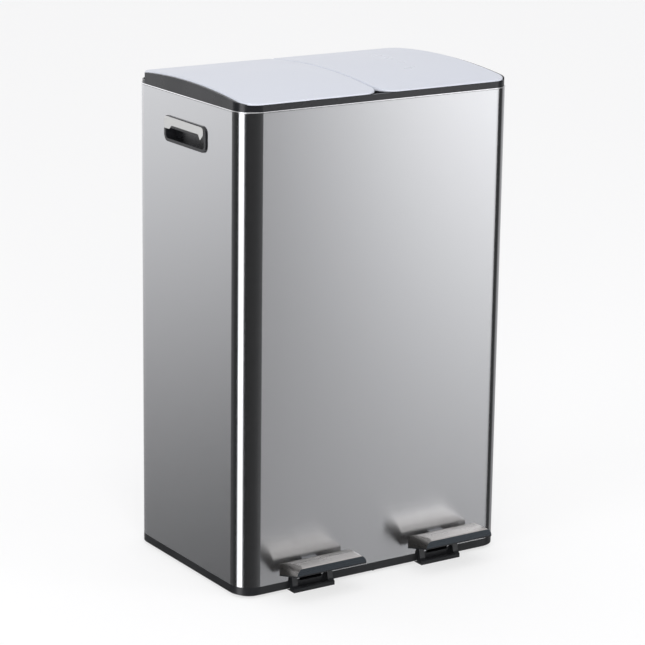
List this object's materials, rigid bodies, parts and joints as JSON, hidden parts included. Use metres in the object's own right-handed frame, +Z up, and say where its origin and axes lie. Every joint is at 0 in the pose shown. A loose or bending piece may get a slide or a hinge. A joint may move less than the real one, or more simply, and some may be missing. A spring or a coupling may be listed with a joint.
{
  "type": "double recycling bin",
  "caption": "Tall pedal bin for sorted waste: brushed steel casing, lift-out buckets side by side, each under its own arched lid, raised by its own pedal through a lever and push rod.",
  "frame": {"origin": "middle of the casing's footprint, on the floor", "axes": "+Z up, the pedals face -Y, the lids are hinged along the +Y side, +X is the bin's right as seen from the front"},
  "size_m": [0.4116, 0.326, 0.65],
  "materials": {
    "casing_steel": "fine horizontal brushed finish",
    "black_plastic": "fine satin moulding texture",
    "lid_plastic": "smooth pale satin",
    "liner_plastic": "plain moulded",
    "bucket_plastic": "plain moulded",
    "pedal_steel": "brushed across the tread",
    "zinc_steel": "zinc plated",
    "guide_plastic": "natural acetal",
    "soft_rubber": "matt"
  },
  "bodies": {
    "casing": {"outer_shell": "casing_steel", "base_tray": "black_plastic", "floor_pads": "soft_rubber", "top_frame": "black_plastic", "lid_buffers": "soft_rubber", "bracket_screws": "zinc_steel", "bucket_left": "bucket_plastic", "bucket_right": "bucket_plastic", "hinge_pins_left": "zinc_steel", "hinge_pins_right": "zinc_steel", "rod_guides_left": "guide_plastic", "rod_guides_right": "guide_plastic", "pivot_bracket_left": "zinc_steel", "pivot_bracket_right": "zinc_steel", "pivot_pin_left": "zinc_steel", "pivot_pin_right": "zinc_steel", "pedal_stop_left": "black_plastic", "pedal_stop_right": "black_plastic", "handle_left": "black_plastic", "handle_right": "black_plastic"},
    "left_lid": {"lid_left": "lid_plastic", "lid_liner_left": "liner_plastic", "crank_pin_left": "zinc_steel"},
    "left_rod": {"push_rod_left": "zinc_steel", "rod_top_left": "guide_plastic", "rod_foot_left": "guide_plastic"},
    "left_pedal": {"pedal_lever_left": "zinc_steel", "pedal_tread_left": "pedal_steel", "pedal_base_left": "black_plastic"},
    "right_lid": {"lid_right": "lid_plastic", "lid_liner_right": "liner_plastic", "crank_pin_right": "zinc_steel"},
    "right_rod": {"push_rod_right": "zinc_steel", "rod_top_right": "guide_plastic", "rod_foot_right": "guide_plastic"},
    "right_pedal": {"pedal_lever_right": "zinc_steel", "pedal_tread_right": "pedal_steel", "pedal_base_right": "black_plastic"}
  },
  "joints": [
    {"name": "left_lid_hinge", "type": "hinge", "parent": "casing", "child": "left_lid", "pos_m": [-0.0999, 0.121, 0.636], "axis": [-1, 0, 0], "range_deg": [0, 80]},
    {"name": "left_rod_slide", "type": "slide", "parent": "casing", "child": "left_rod", "axis": [0, 0, 1], "range_m": [0, 0.0201]},
    {"name": "left_pedal_hinge", "type": "hinge", "parent": "casing", "child": "left_pedal", "pos_m": [-0.0999, -0.024, 0.027], "axis": [1, 0, 0], "range_deg": [0, 8.8]},
    {"name": "right_lid_hinge", "type": "hinge", "parent": "casing", "child": "right_lid", "pos_m": [0.0999, 0.121, 0.636], "axis": [-1, 0, 0], "range_deg": [0, 80]},
    {"name": "right_rod_slide", "type": "slide", "parent": "casing", "child": "right_rod", "axis": [0, 0, 1], "range_m": [0, 0.0201]},
    {"name": "right_pedal_hinge", "type": "hinge", "parent": "casing", "child": "right_pedal", "pos_m": [0.0999, -0.024, 0.027], "axis": [1, 0, 0], "range_deg": [0, 8.8]}
  ],
  "couplings": [
    {"joint": "left_rod_slide", "follows": "left_lid_hinge", "m_per_rad": 0.014324},
    {"joint": "left_pedal_hinge", "follows": "left_lid_hinge", "ratio": 0.10938},
    {"joint": "right_rod_slide", "follows": "right_lid_hinge", "m_per_rad": 0.014324},
    {"joint": "right_pedal_hinge", "follows": "right_lid_hinge", "ratio": 0.10938}
  ]
}
